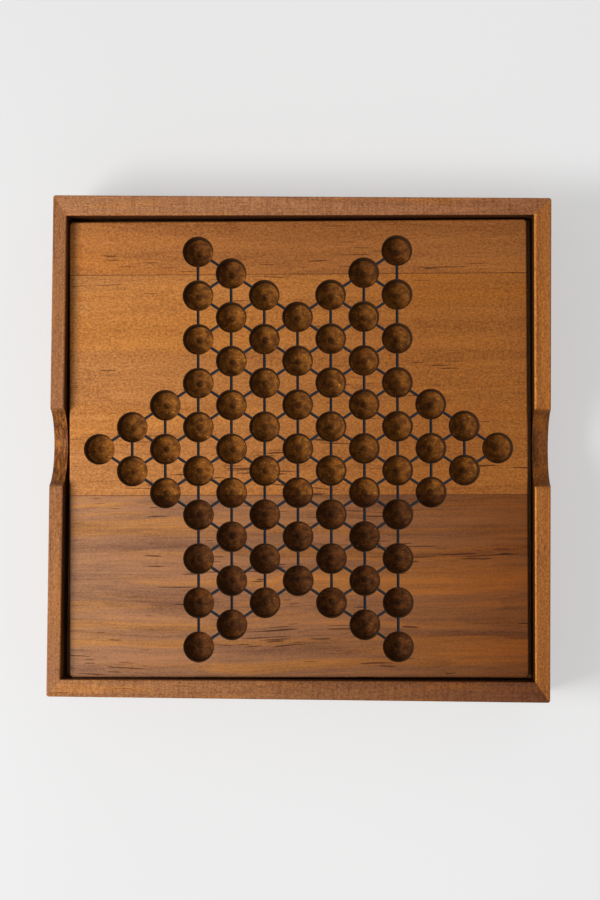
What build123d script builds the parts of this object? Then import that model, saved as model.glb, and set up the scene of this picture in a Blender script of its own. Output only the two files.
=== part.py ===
from build123d import *
import math
import os

# A wooden chinese checkers set: a loose board of three planks, drilled with a star of
# sockets, lies on ledges inside a mitred tray, over a store of loose marbles.
# Millimetres. X runs to the right, Y to the back, Z up. The origin is under the middle
# of the tray, on the surface that it stands on.

# Star of sockets, drawn in from its sides so that it fills a square board
row_pitch = 21.0
column_pitch = 15.87
sockets_by_column = [7, 8, 9, 10, 3, 2, 1]  # from the middle column outwards, both ways
socket_rim = 15.0
rim_ease = 0.3
socket_floor = 13.0
socket_wall_depth = 7.6
dish_depth = 1.6
pilot_diameter = 3.6
pilot_depth = 1.2
line_width = 1.35
line_depth = 0.8

# Board
board_width = 219.0
board_length = 218.2
board_thickness = 13.0
board_corner = 1.8
board_ease = 0.8
back_plank = 25.6
front_plank = 86.9
board_turn = 0.3  # degrees, as it lies askew in its tray
board_slip_x = -0.35
board_slip_y = -0.4

# Tray: its sides splay a little towards the front, and each wall is planed unevenly,
# so it has a width at both of its ends
board_slack_x = 4.4  # between the walls and the board, both sides together
board_slack_y = 2.5
left_splay = 2.0
right_splay = 0.6
left_wall_back = 6.4
left_wall_front = 6.6
right_wall_back = 8.2
right_wall_front = 7.0
back_wall_left = 9.8
back_wall_right = 7.9
front_wall_left = 8.1
front_wall_right = 9.7
tray_corner = 1.2
tray_ease = 0.7
sole_ease = 0.5
recess = 7.5  # from the top of the walls down to the board
store_headroom = 2.5  # between the marbles and the board

# Finger scoops through the left and right walls
scoop_width = 37.0
scoop_depth = 14.0

# Base panel, let into a groove round the walls
panel_thickness = 4.0
panel_lift = 4.0
groove_depth = 3.5
groove_slack = 0.2

# Ledges that carry the board
ledge_width = 8.0
ledge_ease = 0.8

# Marbles, one row of each colour
marble_diameter = 16.0
marble_gap = 0.2  # under a marble, at its one point of rest
marbles_in_row = 6
marble_stray = 3.0
marble_room_x = 7.7  # from the last marble of a row to the ledge
marble_room_y = 6.35  # from the last row to the ledge
marble_colours = ["red", "blue", "green", "yellow", "white", "black"]

# Heights worked out from the sizes above
store_height = marble_diameter + store_headroom
panel_top = panel_lift + panel_thickness
board_bottom = panel_top + store_height
board_top = board_bottom + board_thickness
wall_top = board_top + recess

# The well that the board lies in, measured halfway along, and the marbles spread in it
well_width = board_width + board_slack_x
well_length = board_length + board_slack_y
marble_margin = 2 * ledge_width + marble_diameter + 2 * marble_stray
marble_pitch_x = (well_width - marble_margin - 2 * marble_room_x) / (marbles_in_row - 1)
marble_pitch_y = (well_length - marble_margin - 2 * marble_room_y) / (len(marble_colours) - 1)

# The tray's outline, by its corners about the middle of the well, left front corner
# first and then on to the right
half_width = well_width / 2
half_length = well_length / 2
well_corners = [
    (-half_width - left_splay / 2, -half_length),
    (half_width + right_splay / 2, -half_length),
    (half_width - right_splay / 2, half_length),
    (-half_width + left_splay / 2, half_length),
]
wall_widths = [
    (-left_wall_front, -front_wall_left),
    (right_wall_front, -front_wall_right),
    (right_wall_back, back_wall_right),
    (-left_wall_back, back_wall_left),
]
outer_corners = [
    (x + wide, y + deep) for (x, y), (wide, deep) in zip(well_corners, wall_widths)
]
corner_xs = [x for x, y in outer_corners]
corner_ys = [y for x, y in outer_corners]
well_x = -(min(corner_xs) + max(corner_xs)) / 2
well_y = -(min(corner_ys) + max(corner_ys)) / 2
well_centre = Location((well_x, well_y, 0))

# The four sides, in the order of the corners that they start from
sides = ["front", "right", "back", "left"]


def prism(corners, bottom, height):
    """A straight block over an outline given by its corners."""
    outline = make_face(Polyline(*corners, close=True))
    return Pos(0, 0, bottom) * extrude(outline, amount=height)


def well_inset(distance):
    """The corners of the well's outline, drawn in on every side by a distance."""
    corners = [Vector(*corner) for corner in well_corners]
    inward = []
    for number, corner in enumerate(corners):
        along = (corners[(number + 1) % 4] - corner).normalized()
        inward.append(Vector(-along.Y, along.X))
    moved = []
    for number, corner in enumerate(corners):
        first, second = inward[number - 1], inward[number]
        step = (first + second) * (distance / (1 + first.dot(second)))
        moved.append(corner + step)
    return moved


def side_strip(number, inner, outer, bottom, height):
    """The block along one side between two outlines, mitred at both ends."""
    following = (number + 1) % 4
    outline = [outer[number], outer[following], inner[following], inner[number]]
    return prism(outline, bottom, height)


def level_edges(shape, height):
    """The edges of a shape that lie at one height."""
    flat = []
    for edge in shape.edges():
        box = edge.bounding_box()
        if abs(box.min.Z - height) < 1e-4 and abs(box.max.Z - height) < 1e-4:
            flat.append(edge)
    return flat


def socket_places():
    """Column number and place of each socket, about the middle of the star."""
    places = []
    last_column = len(sockets_by_column) - 1
    for column in range(-last_column, last_column + 1):
        count = sockets_by_column[abs(column)]
        for number in range(count):
            row = number - (count - 1) / 2
            places.append((column, row))
    return places


def place_of(column, row):
    return Vector(column * column_pitch, row * row_pitch, 0)


def make_socket():
    """The space cut away for one socket, its rim at z = 0."""
    rim = socket_rim / 2
    floor = socket_floor / 2
    pilot = pilot_diameter / 2
    dish_radius = (floor ** 2 + dish_depth ** 2) / (2 * dish_depth)

    def dish_height(radius):
        rise = dish_radius - math.sqrt(dish_radius ** 2 - radius ** 2)
        return rise - socket_wall_depth - dish_depth

    headroom = 1.0
    middle = (floor + pilot) / 2
    pilot_floor = dish_height(pilot) - pilot_depth
    side = Polyline(
        (0, 0, pilot_floor),
        (0, 0, headroom),
        (rim, 0, headroom),
        (rim, 0, 0),
        (rim - rim_ease, 0, -rim_ease),
        (floor, 0, -socket_wall_depth),
    )
    dish = ThreePointArc(
        (floor, 0, -socket_wall_depth),
        (middle, 0, dish_height(middle)),
        (pilot, 0, dish_height(pilot)),
    )
    cone = Line((pilot, 0, dish_height(pilot)), (0, 0, pilot_floor))
    return revolve(make_face([side, dish, cone]), axis=Axis.Z)


def make_lines():
    """The grooves between neighbouring sockets, each from rim to rim, at z = 0."""
    places = socket_places()
    grooves = []
    run_in = socket_rim / 2 - rim_ease - line_width / 2
    for first, (column, row) in enumerate(places):
        for other_column, other_row in places[first + 1:]:
            same_column = other_column == column and abs(other_row - row) == 1
            next_column = other_column == column + 1 and abs(other_row - row) == 0.5
            if not (same_column or next_column):
                continue
            start = place_of(column, row)
            step = place_of(other_column, other_row) - start
            middle = start + step * 0.5
            angle = math.degrees(math.atan2(step.Y, step.X))
            groove = Box(step.length - 2 * run_in, line_width, 2 * line_depth)
            grooves.append(Pos(middle.X, middle.Y, 0) * Rot(0, 0, angle) * groove)
    return grooves


def make_planks():
    """The drilled board, cut along its two glued seams."""
    blank = Box(board_width, board_length, board_thickness)
    blank = Pos(0, 0, -board_thickness / 2) * blank
    blank = fillet(blank.edges().filter_by(Axis.Z), board_corner)
    blank = fillet(level_edges(blank, 0) + level_edges(blank, -board_thickness), board_ease)

    socket = make_socket()
    sockets = []
    for column, row in socket_places():
        place = place_of(column, row)
        sockets.append(Pos(place.X, place.Y, 0) * socket)
    board = blank - sockets
    board = board - make_lines()

    back_seam = board_length / 2 - back_plank
    front_seam = front_plank - board_length / 2
    spans = {
        "plank_back": (back_seam, board_length / 2),
        "plank_middle": (front_seam, back_seam),
        "plank_front": (-board_length / 2, front_seam),
    }
    seat = well_centre * Pos(board_slip_x, board_slip_y, board_top) * Rot(0, 0, board_turn)
    planks = {}
    for name, (low, high) in spans.items():
        slab = Box(board_width, high - low, board_thickness)
        slab = Pos(0, (low + high) / 2, -board_thickness / 2) * slab
        planks[name] = seat * (board & slab)
    return planks


def make_walls():
    """The tray's frame, cut at its mitres into four walls, each with its edges eased."""
    frame = prism(outer_corners, 0, wall_top)
    frame = fillet(frame.edges().filter_by(Axis.Z), tray_corner)
    frame = frame - prism(well_corners, 0, wall_top)

    radius = (scoop_width ** 2 / 4 + scoop_depth ** 2) / (2 * scoop_depth)
    scoop_axis = wall_top - scoop_depth + radius
    length = 2 * max(abs(x) for x in corner_xs) + 1
    scoop = Pos(0, 0, scoop_axis) * Rot(0, 90, 0) * Cylinder(radius, length)
    frame = frame - scoop

    groove_height = panel_thickness + groove_slack
    frame = frame - prism(well_inset(-groove_depth), panel_lift, groove_height)

    corners = [Vector(*corner) for corner in well_corners]
    beyond = [
        corner + 2 * (Vector(*outer) - corner)
        for corner, outer in zip(corners, outer_corners)
    ]
    walls = {}
    for number, side in enumerate(sides):
        wedge = side_strip(number, corners, beyond, 0, wall_top)
        wall = frame & wedge
        wall = fillet(off_mitres(level_edges(wall, 0)), sole_ease)
        eased = off_mitres(level_edges(wall, wall_top)) + scoop_edges(wall, radius)
        walls[f"wall_{side}"] = well_centre * fillet(eased, tray_ease)
    return walls


def off_mitres(edges):
    """Those of a wall's level edges that don't run slantwise across its mitred ends."""
    kept = []
    for edge in edges:
        along = edge.tangent_at(0.5)
        slant = math.degrees(math.atan2(abs(along.Y), abs(along.X)))
        short = edge.length < tray_corner * math.pi
        on_corner = short and edge.geom_type == GeomType.CIRCLE
        if on_corner or not 20 < slant < 70:
            kept.append(edge)
    return kept


def scoop_edges(wall, radius):
    """The curved edges where a scoop leaves a wall's upright faces."""
    found = []
    for edge in wall.edges().filter_by(GeomType.CIRCLE):
        if abs(edge.radius - radius) < 1e-3:
            found.append(edge)
    return found


def make_panel():
    panel = prism(well_inset(groove_slack - groove_depth), panel_lift, panel_thickness)
    return well_centre * panel


def make_ledges():
    """Four mitred strips that stand on the base panel against the walls."""
    ledges = {}
    inner_corners = well_inset(ledge_width)
    for number, side in enumerate(sides):
        strip = side_strip(number, inner_corners, well_inset(0), panel_top, store_height)
        top_edges = level_edges(strip, board_bottom)
        inner_edge = min(top_edges, key=lambda edge: edge.center().length)
        strip = chamfer(inner_edge, ledge_ease)
        ledges[f"ledge_{side}"] = well_centre * strip
    return ledges


def make_marbles():
    """Rows of marbles that lie a little out of line on the base panel."""
    marbles = {}
    middle_number = (marbles_in_row - 1) / 2
    middle_row = (len(marble_colours) - 1) / 2
    height = panel_top + marble_gap + marble_diameter / 2
    for row, colour in enumerate(marble_colours):
        for number in range(marbles_in_row):
            x = (number - middle_number) * marble_pitch_x
            y = (middle_row - row) * marble_pitch_y
            x += marble_stray * math.sin(2.4 * number + 1.9 * row)
            y += marble_stray * math.cos(3.1 * number - 1.3 * row)
            marble = Pos(x, y, height) * Sphere(marble_diameter / 2)
            marbles[f"marble_{colour}_{number + 1}"] = well_centre * marble
    return marbles


def main():
    os.makedirs("parts", exist_ok=True)
    nodes = {"base_panel": make_panel()}
    nodes.update(make_walls())
    nodes.update(make_ledges())
    nodes.update(make_planks())
    nodes.update(make_marbles())
    for name, shape in nodes.items():
        export_step(shape, f"parts/{name}.step")


main()
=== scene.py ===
import math
import bpy
from mathutils import Euler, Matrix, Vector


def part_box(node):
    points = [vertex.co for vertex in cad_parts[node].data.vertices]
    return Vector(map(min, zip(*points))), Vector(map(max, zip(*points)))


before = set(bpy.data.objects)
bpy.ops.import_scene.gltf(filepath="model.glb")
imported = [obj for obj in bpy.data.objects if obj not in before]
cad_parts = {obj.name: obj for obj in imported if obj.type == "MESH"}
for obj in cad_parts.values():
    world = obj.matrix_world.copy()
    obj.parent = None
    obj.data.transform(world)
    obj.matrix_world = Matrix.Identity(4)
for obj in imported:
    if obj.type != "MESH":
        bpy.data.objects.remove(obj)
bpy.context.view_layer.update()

mm = 0.001

# The camera hangs over the set, a little to its right and front

view = {
    "place": (26.7 * mm, -17.2 * mm, 915.8 * mm),
    "tilt": (1.0545, 1.7083, 0.1328),  # degrees
    "lens": 73.44,
    "sensor": 36.0,
    "nearest": 10.0 * mm,
}


def setCamera():
    data = bpy.data.cameras.new("camera")
    data.lens = view["lens"]
    data.sensor_width = view["sensor"]
    data.clip_start = view["nearest"]
    camera = bpy.data.objects.new("camera", data)
    camera.location = view["place"]
    camera.rotation_euler = Euler([math.radians(angle) for angle in view["tilt"]], "XYZ")
    bpy.context.scene.collection.objects.link(camera)
    bpy.context.scene.camera = camera
    bpy.context.scene.view_settings.view_transform = "Standard"


setCamera()
print("camera set")

# Node trees are built with small helpers, so that a finish reads from top to bottom


def newMaterial(name):
    material = bpy.data.materials.new(name)
    material.use_nodes = True
    tree = material.node_tree
    tree.nodes.clear()
    return material, tree


def addNode(tree, kind, settings=None, **values):
    # a value is a number, a colour, or an output socket to link from; "_" stands for a space
    node = tree.nodes.new(kind)
    for key, setting in (settings or {}).items():
        setattr(node, key, setting)
    for key, value in values.items():
        if key.startswith("input"):
            socket = node.inputs[int(key.removeprefix("input"))]
        else:
            socket = node.inputs[key.replace("_", " ")]
        if isinstance(value, bpy.types.NodeSocket):
            tree.links.new(value, socket)
        elif socket.type == "RGBA":
            socket.default_value = (*value, 1.0)
        else:
            socket.default_value = value
    return node


def maths(tree, operation, first, second=0.0, third=0.0, clamp=False):
    settings = {"operation": operation, "use_clamp": clamp}
    node = addNode(tree, "ShaderNodeMath", settings, input0=first, input1=second, input2=third)
    return node.outputs[0]


def times(tree, first, *others):
    for other in others:
        first = maths(tree, "MULTIPLY", first, other)
    return first


def inverse(tree, mask):
    return maths(tree, "SUBTRACT", 1.0, mask)


def remap(tree, value, low, high, start=0.0, end=1.0, smooth=True):
    settings = {"interpolation_type": "SMOOTHSTEP" if smooth else "LINEAR"}
    node = addNode(tree, "ShaderNodeMapRange", settings, Value=value, input1=low, input2=high,
                   input3=start, input4=end)
    return node.outputs[0]


def mixColour(tree, factor, first, second, blend="MIX"):
    settings = {"data_type": "RGBA", "blend_type": blend}
    node = addNode(tree, "ShaderNodeMix", settings, input0=factor, input6=first, input7=second)
    return node.outputs[2]


def tint(tree, colour, by):
    return mixColour(tree, 1.0, colour, by, "MULTIPLY")


def ramp(tree, value, stops):
    node = addNode(tree, "ShaderNodeValToRGB", None, Fac=value)
    elements = node.color_ramp.elements
    while len(elements) < len(stops):
        elements.new(0.5)
    for element, (place, colour) in zip(elements, stops):
        element.position = place
        element.color = (*colour, 1.0)
    return node.outputs[0]


def noise(tree, where, scale, detail, roughness, distortion=0.0):
    node = addNode(tree, "ShaderNodeTexNoise", None, Vector=where, Scale=scale, Detail=detail,
                   Roughness=roughness, Distortion=distortion)
    return node.outputs[0]


def mapped(tree, where, place=(0, 0, 0), turn=(0, 0, 0), scale=(1, 1, 1), kind="POINT"):
    node = addNode(tree, "ShaderNodeMapping", {"vector_type": kind}, Vector=where,
                   Location=place, Rotation=turn, Scale=scale)
    return node.outputs[0]


def stretchedNoise(tree, where, cells, detail, roughness=0.5, place=(0, 0, 0)):
    # cells: how many of them to a metre along each axis
    return noise(tree, mapped(tree, where, place=place, scale=cells), 1.0, detail, roughness)


def objectPlace(tree):
    return addNode(tree, "ShaderNodeTexCoord").outputs["Object"]


def axisOf(tree, where, axis):
    return addNode(tree, "ShaderNodeSeparateXYZ", None, Vector=where).outputs[axis]


def grey(level):
    return (level, level, level)


def assign(name, material):
    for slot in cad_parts[name].material_slots:
        slot.material = material


# Oiled wood: soft bands of growth, streaks of gold, fine fibres, hairline cracks and a fine
# grain of open pores. A figure says how strong each of them is

wood = {
    "band": (2.4, 34.0, 34.0),  # noise cells per metre, along and across the grain
    "streak": (7.0, 150.0, 150.0),
    "fibre": (45.0, 1300.0, 1300.0),
    "pore": (850.0, 1300.0, 1300.0),
    "hairline": (50.0, 1250.0, 1250.0),
    "hairlineArea": (16.0, 90.0, 90.0),
    "hairlineShare": 0.70,  # how far the cracks gather in areas
    "hairlineEdge": 0.06,
    "goldShift": (3.0, 1.0, 0.0),
    "ringPower": 3.0,  # how late in a year's growth it darkens
    "ringEdge": (1.0, 0.94),
    "ringMean": 0.22,
    "noiseMean": 0.5,
    "contrast": 0.34,
    "crack": (0.22, 0.16, 0.14),
    "fibreLevel": (0.3, 0.7),
    "roughness": (0.38, 0.56),
    "dryRoughness": 0.35,  # what wood without its satin finish adds
    "shine": 0.14,
    "bump": 0.10 * mm,
    "poreHeight": 0.5,
}

plainFigure = {
    "bend": 0.010, "bendScale": 8.0,  # how far the fibres stray in metres, and how often
    "rings": 5.0, "ringWeight": 0.14, "streakWeight": 0.55, "fibreWeight": 0.40, "poreWeight": 1.45,
    "tones": [(0.0, (1.35, 1.42, 1.55)), (0.5, (1.0, 1.0, 1.0)), (1.0, (0.62, 0.56, 0.55))],
    "gold": (1.12, 1.06, 0.80), "goldCells": (6.0, 50.0, 50.0), "goldLevel": (0.48, 0.66),
    "cracks": 0.7, "crackLevel": 1.17,
}


def woodLayers(tree, grain, figure):
    # grain: a place in metres with X along the fibres
    stray = addNode(tree, "ShaderNodeTexNoise", None, Vector=grain, Scale=figure["bendScale"],
                    Detail=2.0).outputs["Color"]
    stray = addNode(tree, "ShaderNodeVectorMath", {"operation": "MULTIPLY"}, input0=stray,
                    input1=(0.0, figure["bend"], figure["bend"])).outputs[0]
    flow = addNode(tree, "ShaderNodeVectorMath", {"operation": "ADD"}, input0=grain,
                   input1=stray).outputs[0]
    band = stretchedNoise(tree, flow, wood["band"], 2.0)
    rings = maths(tree, "FRACT", times(tree, band, figure["rings"]))
    lateWood = times(tree, maths(tree, "POWER", rings, wood["ringPower"]),
                     remap(tree, rings, *wood["ringEdge"]))
    streak = stretchedNoise(tree, flow, wood["streak"], 4.0, 0.6)
    fibre = stretchedNoise(tree, flow, wood["fibre"], 3.0, 0.6)
    pore = stretchedNoise(tree, flow, wood["pore"], 2.0, 0.6)

    dark = times(tree, lateWood, figure["ringWeight"])
    middle = wood["ringMean"] * figure["ringWeight"]
    for layer, weight in ((streak, "streakWeight"), (fibre, "fibreWeight"), (pore, "poreWeight")):
        dark = maths(tree, "MULTIPLY_ADD", layer, figure[weight], dark)
        middle += wood["noiseMean"] * figure[weight]
    dark = remap(tree, dark, middle - wood["contrast"], middle + wood["contrast"], smooth=False)
    colour = ramp(tree, dark, figure["tones"])

    gold = stretchedNoise(tree, flow, figure["goldCells"], 3.0, 0.55, wood["goldShift"])
    gold = remap(tree, gold, *figure["goldLevel"])
    colour = mixColour(tree, gold, colour, tint(tree, colour, figure["gold"]))

    area = stretchedNoise(tree, flow, wood["hairlineArea"], 1.0)
    line = stretchedNoise(tree, flow, wood["hairline"], 0.0)
    hairline = maths(tree, "MULTIPLY_ADD", area, wood["hairlineShare"], line)
    hairline = remap(tree, hairline, figure["crackLevel"], figure["crackLevel"] + wood["hairlineEdge"])
    colour = mixColour(tree, times(tree, hairline, figure["cracks"]), colour,
                       tint(tree, colour, wood["crack"]))
    height = maths(tree, "SUBTRACT", fibre, hairline)
    height = maths(tree, "MULTIPLY_ADD", pore, wood["poreHeight"], height)
    return colour, height, fibre


def toneWithPaintedFalloff(tree, colour, place, start, end, left, right):
    # from the left end's colour to the right end's: the wood's own tone, darkened to the right as
    # painted falloff of the key light from the left
    share = remap(tree, place, start, end, smooth=False)
    return tint(tree, colour, mixColour(tree, share, left, right))


def finishWood(tree, colour, height, fibre, dry=0.0):
    # dry: how far the wood is left rough and without its satin finish
    roughness = remap(tree, fibre, *wood["fibreLevel"], *wood["roughness"])
    roughness = maths(tree, "MULTIPLY_ADD", dry, wood["dryRoughness"], roughness, clamp=True)
    bumpNode = addNode(tree, "ShaderNodeBump", None, Strength=1.0, Distance=wood["bump"],
                       Height=height)
    shader = addNode(tree, "ShaderNodeBsdfPrincipled", None, Base_Color=colour,
                     Roughness=roughness, Normal=bumpNode.outputs[0])
    shader.inputs["Specular IOR Level"].default_value = wood["shine"]
    addNode(tree, "ShaderNodeOutputMaterial", None, Surface=shader.outputs[0])


# The tray: four walls with the grain along each of them, cross-cut marks on the front and
# back ones, scoops that show the rough inside of the wood, painted shade on their inner
# faces and a painted highlight on the right wall's inner edge

tray = {
    "figure": dict(plainFigure, bend=0.006, rings=6.0, ringWeight=0.16, streakWeight=0.5,
                   fibreWeight=0.55, poreWeight=1.6, gold=(1.18, 1.10, 0.80),
                   goldCells=(14.0, 200.0, 200.0), goldLevel=(0.50, 0.66), cracks=0.5),
    "top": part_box("wall_back")[1].z,
    "topEdge": (0.4 * mm, 1.4 * mm),  # how far down a wall's top fades into its sides
    "halfWidth": 119.0 * mm,
    "halfWell": (111.7 * mm, 110.35 * mm),
    "sideInner": (1.5 * mm, 0.9 * mm),  # from the well to where a left or right wall's inside ends
    "endInner": (0.6 * mm, 0.2 * mm),
    # the walls' inner faces below the top: painted shade of the recess
    "paintedInnerShade": (0.20, 0.16, 0.14),
    "scoopHalf": 18.6 * mm,
    "scoopFacing": (0.15, 0.5),
    "scoopCells": (1100.0, 160.0, 400.0),
    "scoopLevel": (0.40, 0.62),
    "scoopStain": (0.40, 0.33, 0.24),
    "scoopBump": 3.0,
    # the right wall's inner eased edge: a painted highlight where it faces the key light
    "paintedHighlightEdge": (0.9 * mm, 0.5 * mm),
    "paintedHighlight": (1.75, 1.95, 1.7),
    "sawnCells": (900.0, 90.0, 90.0),
    "sawnLevel": (0.42, 0.72),
    "sawn": (0.78, 0.74, 0.72),
}

# left and right: each wall's own colour, darkened towards the right as painted falloff of the key
# light from the left
walls = {
    "wall_front": {"alongY": False, "seed": (0.31, 0.0, 0.2),
                   "left": (0.380, 0.154, 0.050), "right": (0.132, 0.040, 0.013)},
    "wall_right": {"alongY": True, "seed": (1.7, 0.4, 0.6),
                   "left": (0.350, 0.118, 0.023), "right": (0.350, 0.118, 0.023),
                   # darker than the left wall's scoop: painted shade, this scoop lying in the board's
                   # shadow
                   "scoopLight": (0.62, 0.62, 0.50)},
    "wall_back": {"alongY": False, "seed": (2.9, 0.8, 1.1),
                  "left": (0.400, 0.170, 0.066), "right": (0.315, 0.118, 0.044)},
    "wall_left": {"alongY": True, "seed": (4.1, 1.3, 1.9),
                  "left": (0.300, 0.116, 0.038), "right": (0.300, 0.116, 0.038),
                  "scoopLight": (1.15, 1.05, 0.50)},
}


def beyond(distance, steps):
    return [distance + step for step in steps]


def scoopedWall(tree, wall, where, below, colour, height):
    # the scoop shows rough wood, and the right wall's inner edge gets a painted highlight where it
    # faces the key light
    across = axisOf(tree, where, 0)
    along = maths(tree, "ABSOLUTE", axisOf(tree, where, 1))
    facing = addNode(tree, "ShaderNodeNewGeometry").outputs["Normal"]
    upward = remap(tree, axisOf(tree, facing, 2), *tray["scoopFacing"])
    mottle = stretchedNoise(tree, where, tray["scoopCells"], 4.0, 0.7)
    rough = mixColour(tree, remap(tree, mottle, *tray["scoopLevel"]),
                      tint(tree, colour, tray["scoopStain"]), tint(tree, colour, wall["scoopLight"]))
    scoop = remap(tree, along, tray["scoopHalf"], tray["scoopHalf"] - mm)
    scoop = times(tree, scoop, below, upward)
    colour = mixColour(tree, scoop, colour, rough)
    height = maths(tree, "MULTIPLY_ADD", times(tree, mottle, scoop), tray["scoopBump"], height)

    well = tray["halfWell"][0]
    paintedHighlight = remap(tree, across, *beyond(well, tray["paintedHighlightEdge"]))
    paintedHighlight = times(tree, paintedHighlight, remap(tree, across, 0.0, mm), inverse(tree, below))
    colour = mixColour(tree, paintedHighlight, colour, tint(tree, colour, tray["paintedHighlight"]))
    inner = remap(tree, maths(tree, "ABSOLUTE", across), *beyond(well, tray["sideInner"]))
    return colour, height, times(tree, inner, inverse(tree, upward))


def sawnWall(tree, where, below, colour):
    # the cross-cut marks are on the top alone
    along = maths(tree, "ABSOLUTE", axisOf(tree, where, 1))
    sawn = stretchedNoise(tree, where, tray["sawnCells"], 3.0)
    sawn = times(tree, remap(tree, sawn, *tray["sawnLevel"]), inverse(tree, below))
    colour = mixColour(tree, sawn, colour, tint(tree, colour, tray["sawn"]))
    return colour, remap(tree, along, *beyond(tray["halfWell"][1], tray["endInner"]))


def wallMaterial(name, wall):
    material, tree = newMaterial(name + "_oiled")
    where = objectPlace(tree)
    turn = (0, 0, math.radians(90)) if wall["alongY"] else (0, 0, 0)
    grain = mapped(tree, where, place=wall["seed"], turn=turn)
    colour, height, fibre = woodLayers(tree, grain, tray["figure"])
    colour = toneWithPaintedFalloff(tree, colour, axisOf(tree, where, 0), -tray["halfWidth"], tray["halfWidth"],
                        wall["left"], wall["right"])
    depth = maths(tree, "SUBTRACT", tray["top"], axisOf(tree, where, 2))
    below = remap(tree, depth, *tray["topEdge"])
    if wall["alongY"]:
        colour, height, inner = scoopedWall(tree, wall, where, below, colour, height)
    else:
        colour, inner = sawnWall(tree, where, below, colour)
    # painted shade on the walls' inner faces below their tops
    colour = mixColour(tree, times(tree, inner, below), colour, tint(tree, colour, tray["paintedInnerShade"]))
    finishWood(tree, colour, height, fibre)
    return material


for name, wall in walls.items():
    assign(name, wallMaterial(name, wall))
print("walls finished")

# The board: three planks with their own figure, drilled sockets burnt dark and painted with
# the shade of their recess, and dark grooves from socket to socket

board = {
    "turn": math.radians(0.3),
    "place": (-0.50 * mm, -0.45 * mm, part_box("plank_middle")[1].z),  # the middle of the star
    "leftEdge": -109.5 * mm,
    "halfStar": (107.0 * mm, 106.0 * mm),  # half the room that the star takes up
    "starEdge": 0.2 * mm,
    "seams": (83.5 * mm, -22.2 * mm),
    "seamEdge": (0.35 * mm, 0.05 * mm),
    "seamShare": 0.7,
    "face": (0.06 * mm, 0.16 * mm),  # a cut starts this far down
    "cutDepth": 11.5 * mm,  # nothing is cut deeper than this
    "lineEnd": (0.85 * mm, 1.0 * mm),
    "lineLevel": 0.9,  # a groove's floor faces up, a socket's side doesn't
    "lineColour": (0.022, 0.026, 0.034),
    # a socket's side and the drill's point: painted shade of the recess
    "sideEnd": (7.75 * mm, 7.25 * mm),  # down the drilled side of a socket
    "side": (0.060, 0.024, 0.007),
    "pointStart": (9.0 * mm, 9.35 * mm),  # where the drill's point went in
    "point": (0.030, 0.012, 0.005),
    "pointShare": 0.5,
    "mottleScale": 330.0,
    "mottleLevel": (0.24, 0.76),
    # the sockets' burnt wood, kept far darker than the face partly as painted shade of the recess
    "socketDark": (0.085, 0.033, 0.008),
    "socketLight": (0.290, 0.112, 0.016),
    # golden flecks in the sockets: torn fibre, made bright as painted glints
    "fleckCells": (1100.0, 1900.0, 1100.0),
    "fleckLevel": (0.57, 0.72),
    "fleckArea": (0.42, 0.60),
    "glintFleck": (0.750, 0.400, 0.090),
    "plankShare": 0.5,  # how far a socket takes after its plank's own colour
    "plankLift": (3.2, 6.5, 18.0),
    "socketBump": 1.2,
}

# left and right: each plank's own colour, darkened towards the right as painted falloff of the key
# light from the left
planks = {
    "plank_back": {
        "seed": (0.7, 0.2, 0.1), "reach": -5.0 * mm,  # where the right colour is reached
        "left": (0.450, 0.160, 0.036), "right": (0.300, 0.100, 0.021), "burntAndShaded": (0.85, 0.80, 0.85),
        "figure": plainFigure,
    },
    "plank_middle": {
        "seed": (3.1, 0.9, 0.5), "reach": 60.0 * mm,
        "left": (0.480, 0.184, 0.046), "right": (0.315, 0.102, 0.016), "burntAndShaded": (1.0, 1.0, 1.0),
        "figure": dict(plainFigure, bend=0.012, streakWeight=0.50, gold=(1.10, 1.06, 0.80),
                       goldCells=(5.0, 40.0, 40.0), goldLevel=(0.46, 0.66), cracks=0.9,
                       crackLevel=1.175),
    },
    "plank_front": {
        "seed": (5.3, 1.6, 0.9), "reach": 100.0 * mm,
        "left": (0.355, 0.162, 0.076), "right": (0.158, 0.048, 0.010), "burntAndShaded": (0.58, 0.50, 0.55),
        "figure": dict(plainFigure, bend=0.014, bendScale=7.0, rings=8.0, ringWeight=0.18,
                       streakWeight=1.15, fibreWeight=0.60, poreWeight=0.65,
                       tones=[(0.0, (1.45, 1.38, 1.20)), (0.5, (1.0, 1.0, 1.0)),
                              (1.0, (0.56, 0.52, 0.56))],
                       gold=(1.28, 1.18, 0.72), goldCells=(3.0, 130.0, 130.0),
                       goldLevel=(0.48, 0.62), cracks=0.9, crackLevel=1.135),
    },
}


def seamLines(tree, along, colour):
    for seam in board["seams"]:
        off = maths(tree, "ABSOLUTE", maths(tree, "SUBTRACT", along, seam))
        line = times(tree, remap(tree, off, *board["seamEdge"]), board["seamShare"])
        colour = mixColour(tree, line, colour, tint(tree, colour, wood["crack"]))
    return colour


def withinStar(tree, place, half):
    return remap(tree, maths(tree, "ABSOLUTE", place), half, half - board["starEdge"])


def cutMasks(tree, across, along, depth):
    # within the star, what lies under the face is a socket or a groove
    halfX, halfY = board["halfStar"]
    cut = times(tree, withinStar(tree, across, halfX), withinStar(tree, along, halfY),
                remap(tree, depth, *board["face"]), maths(tree, "LESS_THAN", depth, board["cutDepth"]))
    facing = addNode(tree, "ShaderNodeNewGeometry").outputs["True Normal"]
    level = maths(tree, "GREATER_THAN", axisOf(tree, facing, 2), board["lineLevel"])
    under = remap(tree, depth, *board["lineEnd"])
    return cut, times(tree, cut, level, inverse(tree, under))


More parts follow.
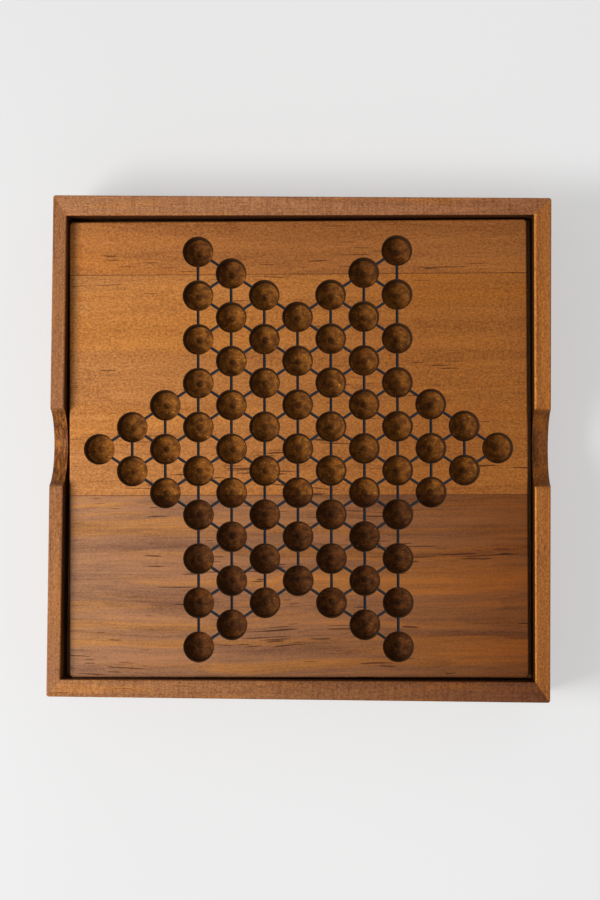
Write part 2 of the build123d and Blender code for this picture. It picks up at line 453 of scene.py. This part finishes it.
def socketWood(tree, onBoard, depth, colour, plankTint):
    # a drilled socket is burnt dark and painted darker as the shade of its recess, most on its side
    # and where the drill's point went in
    mottle = noise(tree, onBoard, board["mottleScale"], 3.0, 0.6)
    glintFleck = stretchedNoise(tree, onBoard, board["fleckCells"], 2.0, 0.6)
    glintFleck = remap(tree, glintFleck, *board["fleckLevel"])
    burntAndShaded = mixColour(tree, remap(tree, mottle, *board["mottleLevel"]), board["socketDark"],
                      board["socketLight"])
    flecks = times(tree, glintFleck, remap(tree, mottle, *board["fleckArea"]))
    burntAndShaded = mixColour(tree, flecks, burntAndShaded, board["glintFleck"])
    ownWood = tint(tree, burntAndShaded, tint(tree, colour, board["plankLift"]))
    burntAndShaded = tint(tree, mixColour(tree, board["plankShare"], burntAndShaded, ownWood), plankTint)
    burntAndShaded = mixColour(tree, remap(tree, depth, *board["sideEnd"]), burntAndShaded, board["side"])
    point = times(tree, remap(tree, depth, *board["pointStart"]), board["pointShare"])
    burntAndShaded = mixColour(tree, point, burntAndShaded, board["point"])
    return burntAndShaded, maths(tree, "ADD", mottle, glintFleck)


def plankMaterial(name, plank):
    material, tree = newMaterial(name + "_oiled")
    onBoard = mapped(tree, objectPlace(tree), board["place"], (0, 0, board["turn"]), kind="TEXTURE")
    grain = mapped(tree, onBoard, place=plank["seed"])
    colour, height, fibre = woodLayers(tree, grain, plank["figure"])
    across = axisOf(tree, onBoard, 0)
    along = axisOf(tree, onBoard, 1)
    depth = times(tree, axisOf(tree, onBoard, 2), -1.0)
    colour = toneWithPaintedFalloff(tree, colour, across, board["leftEdge"], plank["reach"], plank["left"],
                        plank["right"])
    colour = seamLines(tree, along, colour)
    cut, lines = cutMasks(tree, across, along, depth)
    burntAndShaded, rough = socketWood(tree, onBoard, depth, colour, plank["burntAndShaded"])
    colour = mixColour(tree, cut, colour, burntAndShaded)
    colour = mixColour(tree, lines, colour, board["lineColour"])
    height = maths(tree, "ADD", height, times(tree, rough, cut, board["socketBump"]))
    finishWood(tree, colour, height, fibre, cut)
    return material


for name, plank in planks.items():
    assign(name, plankMaterial(name, plank))
print("board finished")

# Under the board: plain ledges, a plywood base and the marbles

store = {
    "ledge": (0.330, 0.165, 0.070),
    "panel": (0.440, 0.290, 0.150),
    "panelSeed": (8.0, 2.0, 0.0),
    "turns": {"front": 0.0, "back": 0.0, "left": math.pi / 2, "right": math.pi / 2},
    "figure": dict(plainFigure, bend=0.008, ringWeight=0.30, streakWeight=0.6, fibreWeight=0.45,
                   poreWeight=0.35, gold=(1.1, 1.05, 0.9), goldLevel=(0.45, 0.65)),
}


def plainWood(name, base, turn, seed):
    material, tree = newMaterial(name)
    grain = mapped(tree, objectPlace(tree), place=seed, turn=(0, 0, turn))
    colour, height, fibre = woodLayers(tree, grain, store["figure"])
    finishWood(tree, tint(tree, colour, base), height, fibre)
    return material


for side, turn in store["turns"].items():
    seed = (turn, 0.7, len(side))  # any place will do that differs from side to side
    assign("ledge_" + side, plainWood("ledge_wood_" + side, store["ledge"], turn, seed))
assign("base_panel", plainWood("panel_plywood", store["panel"], 0.0, store["panelSeed"]))

marbles = {
    "swirlTurn": (0.5, 0.9, 0.3),
    "swirlCells": (60.0, 60.0, 260.0),
    "swirlBend": 1.4,
    "swirlLevel": (0.50, 0.68),
    "swirlShare": 0.8,
    "roughness": 0.06,
    "coatRoughness": 0.02,
    "colours": {  # of the glass and of its swirl
        "red": ((0.55, 0.012, 0.012), (0.95, 0.60, 0.50)),
        "blue": ((0.010, 0.050, 0.42), (0.55, 0.75, 0.95)),
        "green": ((0.008, 0.22, 0.050), (0.70, 0.90, 0.55)),
        "yellow": ((0.80, 0.42, 0.012), (0.98, 0.90, 0.55)),
        "white": ((0.78, 0.78, 0.74), (0.30, 0.45, 0.70)),
        "black": ((0.010, 0.010, 0.012), (0.35, 0.36, 0.40)),
    },
}


def marbleMaterial(colour, glass, swirl):
    material, tree = newMaterial("glass_" + colour)
    bent = mapped(tree, objectPlace(tree), turn=marbles["swirlTurn"], scale=marbles["swirlCells"])
    veins = noise(tree, bent, 1.0, 3.0, 0.5, marbles["swirlBend"])
    share = times(tree, remap(tree, veins, *marbles["swirlLevel"]), marbles["swirlShare"])
    shader = addNode(tree, "ShaderNodeBsdfPrincipled", None, Roughness=marbles["roughness"],
                     Base_Color=mixColour(tree, share, glass, swirl))
    shader.inputs["Coat Weight"].default_value = 1.0
    shader.inputs["Coat Roughness"].default_value = marbles["coatRoughness"]
    addNode(tree, "ShaderNodeOutputMaterial", None, Surface=shader.outputs[0])
    return material


for colour, (glass, swirl) in marbles["colours"].items():
    material = marbleMaterial(colour, glass, swirl)
    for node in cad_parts:
        if node.startswith("marble_" + colour + "_"):
            assign(node, material)
print("marbles finished")

# A pale floor, and soft light from the left

studio = {
    "floorSize": 6.0,
    "floorFade": (-0.14, 0.14),
    "floorColour": (0.80, 0.93),  # at the left and at the right
    "floorRoughness": 0.9,
    "paper": 0.85,  # the background's level, seen by the camera and in reflections
    "paperShare": 0.54,
    "world": 0.40,
    "key": {"place": (-0.63, -0.19, 0.87), "size": 0.42, "power": 8.8},
}


def lookedAt(tree):
    # 1 for what the camera sees, also by reflection and through glass
    path = addNode(tree, "ShaderNodeLightPath").outputs
    seen = maths(tree, "MAXIMUM", path["Is Camera Ray"], path["Is Glossy Ray"])
    return maths(tree, "MAXIMUM", seen, path["Is Transmission Ray"])


def makeFloor():
    bpy.ops.mesh.primitive_grid_add(size=studio["floorSize"], x_subdivisions=2, y_subdivisions=2)
    floor = bpy.context.object
    floor.name = "floor"
    material, tree = newMaterial("floor_paper")
    level = remap(tree, axisOf(tree, objectPlace(tree), 0), *studio["floorFade"],
                  *studio["floorColour"])
    shader = addNode(tree, "ShaderNodeBsdfPrincipled", None, Base_Color=level,
                     Roughness=studio["floorRoughness"])
    shader.inputs["Specular IOR Level"].default_value = 0.0
    # the paper's own level lifts the shadow for what looks at it, and adds no light
    paper = addNode(tree, "ShaderNodeEmission", None, Color=grey(studio["paper"]), Strength=1.0)
    share = times(tree, lookedAt(tree), studio["paperShare"])
    both = addNode(tree, "ShaderNodeMixShader", None, input0=share, input1=shader.outputs[0],
                   input2=paper.outputs[0])
    addNode(tree, "ShaderNodeOutputMaterial", None, Surface=both.outputs[0])
    floor.data.materials.append(material)


def softLight(name, light):
    data = bpy.data.lights.new(name, "AREA")
    data.shape = "SQUARE"
    data.size = light["size"]
    data.energy = light["power"]
    lamp = bpy.data.objects.new(name, data)
    lamp.location = light["place"]
    direction = -lamp.location.normalized()
    lamp.rotation_euler = direction.to_track_quat("-Z", "Y").to_euler()
    bpy.context.scene.collection.objects.link(lamp)


def setWorld():
    world = bpy.data.worlds.new("studio")
    world.use_nodes = True
    tree = world.node_tree
    tree.nodes.clear()
    level = remap(tree, lookedAt(tree), 0.0, 1.0, studio["world"], studio["paper"], smooth=False)
    background = addNode(tree, "ShaderNodeBackground", None, Color=grey(1.0), Strength=level)
    addNode(tree, "ShaderNodeOutputWorld", None, Surface=background.outputs[0])
    bpy.context.scene.world = world


makeFloor()
softLight("key_light", studio["key"])
setWorld()
print("studio lit")
